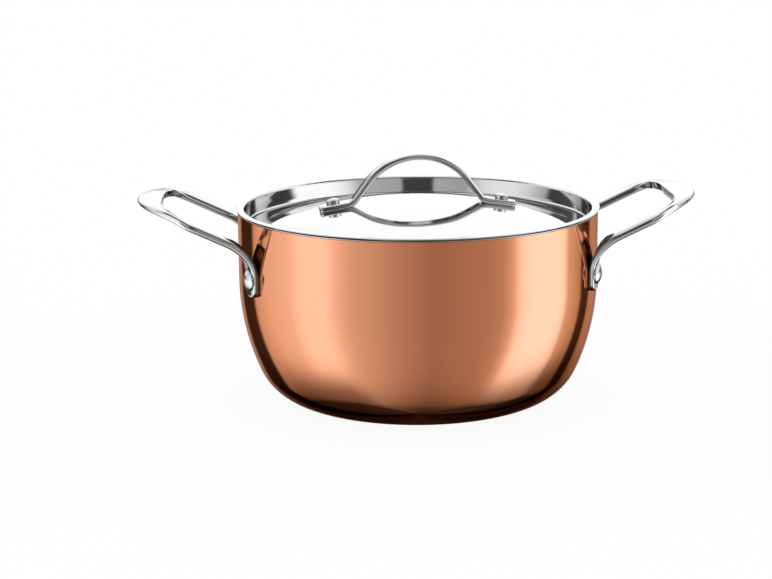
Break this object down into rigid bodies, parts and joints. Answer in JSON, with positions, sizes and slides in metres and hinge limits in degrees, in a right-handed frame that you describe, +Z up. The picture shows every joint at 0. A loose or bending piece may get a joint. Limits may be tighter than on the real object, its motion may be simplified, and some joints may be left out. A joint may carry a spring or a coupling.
{
  "type": "lidded copper casserole",
  "caption": "Round copper casserole with a steel lining, riveted loop handles and a sunk, domed lid with an arched strap handle.",
  "frame": {"origin": "centre of the underside of the base", "axes": "+Z up, +X towards the right loop handle, -Y towards the front as pictured"},
  "size_m": [0.317, 0.2068, 0.1408],
  "materials": {
    "copper": "satin polished copper",
    "lining_steel": "satin stainless steel",
    "handle_steel": "polished stainless steel",
    "rivet_steel": "polished stainless steel",
    "lid_steel": "mirror polished stainless steel"
  },
  "bodies": {
    "pot": {"copper_shell": "copper", "steel_lining": "lining_steel", "left_handle": "handle_steel", "right_handle": "handle_steel", "left_front_rivet": "rivet_steel", "left_rear_rivet": "rivet_steel", "right_front_rivet": "rivet_steel", "right_rear_rivet": "rivet_steel"},
    "lid": {"lid_pan": "lid_steel", "lid_handle": "handle_steel", "left_lid_rivet": "rivet_steel", "right_lid_rivet": "rivet_steel"}
  },
  "joints": [
    {"name": "lid_lift", "type": "slide", "parent": "pot", "child": "lid", "axis": [0, 0, 1], "range_m": [0, 0.15]}
  ]
}
